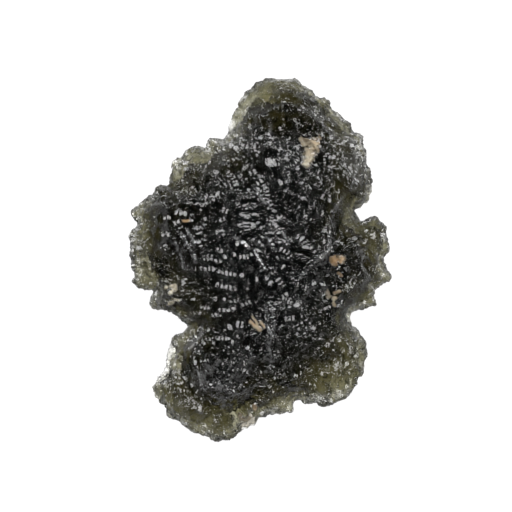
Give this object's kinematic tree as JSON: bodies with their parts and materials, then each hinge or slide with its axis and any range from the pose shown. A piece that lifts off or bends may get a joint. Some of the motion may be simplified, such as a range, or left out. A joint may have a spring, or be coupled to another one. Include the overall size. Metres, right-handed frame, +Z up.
{
  "type": "moldavite",
  "caption": "Rough moldavite: a flat, lobed piece of olive-green natural glass, etched all over with pits, furrows and sharp crests.",
  "frame": {"origin": "under the middle of the stone's bounding box, on the surface it lies on", "axes": "+Z up from that surface, +Y along the length towards the crown, +X across the width towards the right ear"},
  "size_m": [0.0262, 0.0364, 0.0097],
  "materials": {
    "tektite_glass": "etched natural glass, glossy on its crests, nearly black where thick and olive where thin",
    "clay": "dry tan clay left in a few pits"
  },
  "bodies": {
    "root": {"moldavite": "tektite_glass"}
  },
  "joints": []
}
